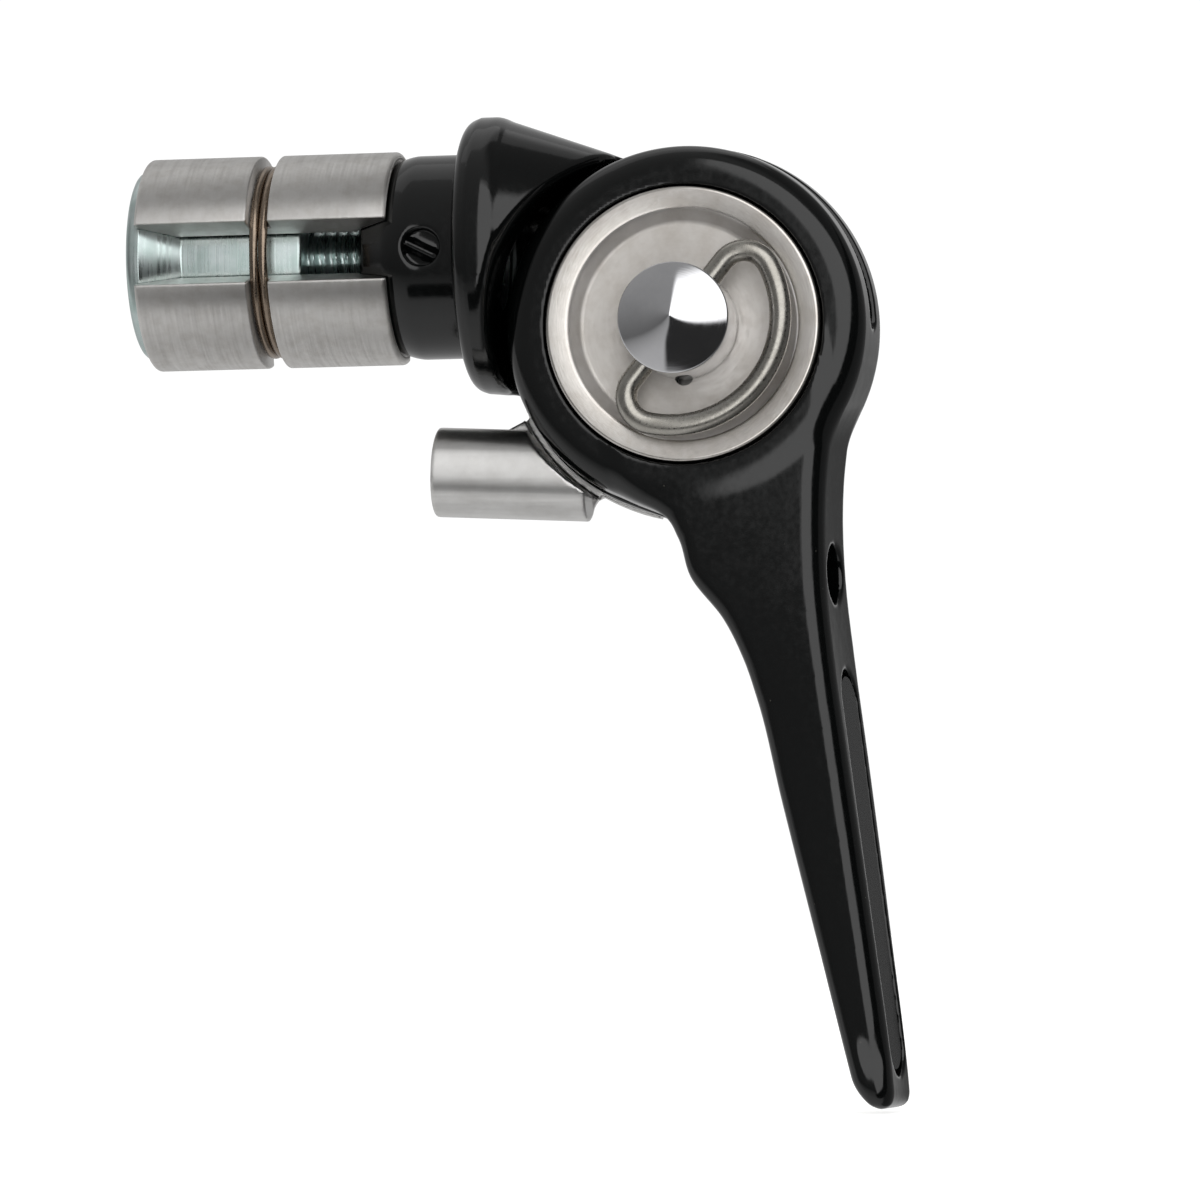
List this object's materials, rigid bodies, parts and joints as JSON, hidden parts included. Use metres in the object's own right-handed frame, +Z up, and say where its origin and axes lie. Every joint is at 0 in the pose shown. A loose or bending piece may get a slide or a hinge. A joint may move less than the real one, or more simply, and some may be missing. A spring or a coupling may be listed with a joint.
{
  "type": "bar-end shift lever",
  "caption": "Friction shift lever on a pod that an expander plug holds in a handlebar's end, with a cable stop and a D-ring tension screw.",
  "frame": {"origin": "centre of the pod's shoulder face, which butts against the bar's end, on the plug's axis", "axes": "+X along the plug's axis, away from the bar; +Z up, away from the lever's finger; the pivot lies along Y with the screw's head towards -Y"},
  "size_m": [0.0659, 0.0292, 0.086],
  "materials": {
    "zinc_steel": "blue-white zinc plate over turned steel",
    "raw_aluminium": "as-turned, satin, lightly stained",
    "spring_wire": "drawn spring wire, browned",
    "black_enamel": "gloss black paint over a forging",
    "plain_steel": "turned, lightly oiled",
    "polished_aluminium": "polished with fine scratches",
    "friction_polymer": "moulded friction disc",
    "inlay_plate": "dark satin plate, plain",
    "bronze": "sintered bushing",
    "stainless_cap": "pressed stainless, fine radial and circular marks",
    "seal_rubber": "moulded ring",
    "washer_nylon": "thin nylon",
    "chromed_steel": "polished chrome cone",
    "stainless_wire": "satin drawn wire"
  },
  "bodies": {
    "pod": {"pod_body": "black_enamel", "pivot_boss": "plain_steel", "cable_stop": "polished_aluminium", "range_stop_pin": "plain_steel", "rear_friction_washer": "friction_polymer", "front_friction_washer": "friction_polymer", "pressure_plate": "plain_steel", "coned_washer_inner": "plain_steel", "coned_washer_outer": "plain_steel", "cover_cap": "stainless_cap", "seal_ring": "seal_rubber", "screw_washer": "washer_nylon", "bolt_washer": "zinc_steel"},
    "lever": {"lever": "black_enamel", "lever_inlay": "inlay_plate", "hub_bushing": "bronze"},
    "pivot_screw": {"pivot_screw": "chromed_steel"},
    "d_ring": {"d_ring": "stainless_wire"},
    "expander_bolt": {"expander_bolt": "zinc_steel"},
    "expander_nut": {"expander_nut": "zinc_steel"},
    "segment_1": {"expander_segment_1": "raw_aluminium", "retaining_spring": "spring_wire"},
    "segment_2": {"expander_segment_2": "raw_aluminium"},
    "segment_3": {"expander_segment_3": "raw_aluminium"}
  },
  "joints": [
    {"name": "lever_swing", "type": "hinge", "parent": "pod", "child": "lever", "pos_m": [0.0196, 0, -0.0073], "axis": [0, -1, 0], "range_deg": [0, 110]},
    {"name": "screw_turn", "type": "hinge", "parent": "pod", "child": "pivot_screw", "pos_m": [0.0196, 0, -0.0073], "axis": [0, -1, 0], "range_deg": [-180, 180]},
    {"name": "d_ring_fold", "type": "hinge", "parent": "pivot_screw", "child": "d_ring", "pos_m": [0.0196, -0.0122, -0.0073], "axis": [-0.6252, 0, -0.7804], "range_deg": [0, 180]},
    {"name": "bolt_turn", "type": "hinge", "parent": "pod", "child": "expander_bolt", "pos_m": [0, 0, 0], "axis": [1, 0, 0], "range_deg": [0, 720]},
    {"name": "nut_slide", "type": "slide", "parent": "pod", "child": "expander_nut", "axis": [1, 0, 0], "range_m": [0, 0.002]},
    {"name": "segment_1_slide", "type": "slide", "parent": "pod", "child": "segment_1", "axis": [0.6943, -0.3379, -0.6354], "range_m": [0, 0.00144], "deforming": ["retaining_spring"]},
    {"name": "segment_2_slide", "type": "slide", "parent": "pod", "child": "segment_2", "axis": [0.6943, 0.7197, 0], "range_m": [0, 0.00144]},
    {"name": "segment_3_slide", "type": "slide", "parent": "pod", "child": "segment_3", "axis": [0.6943, -0.3379, 0.6354], "range_m": [0, 0.00144]}
  ],
  "couplings": [
    {"joint": "bolt_turn", "follows": "nut_slide", "rad_per_m": 6283.2},
    {"joint": "segment_1_slide", "follows": "nut_slide", "ratio": 0.72015},
    {"joint": "segment_2_slide", "follows": "nut_slide", "ratio": 0.72015},
    {"joint": "segment_3_slide", "follows": "nut_slide", "ratio": 0.72015}
  ]
}
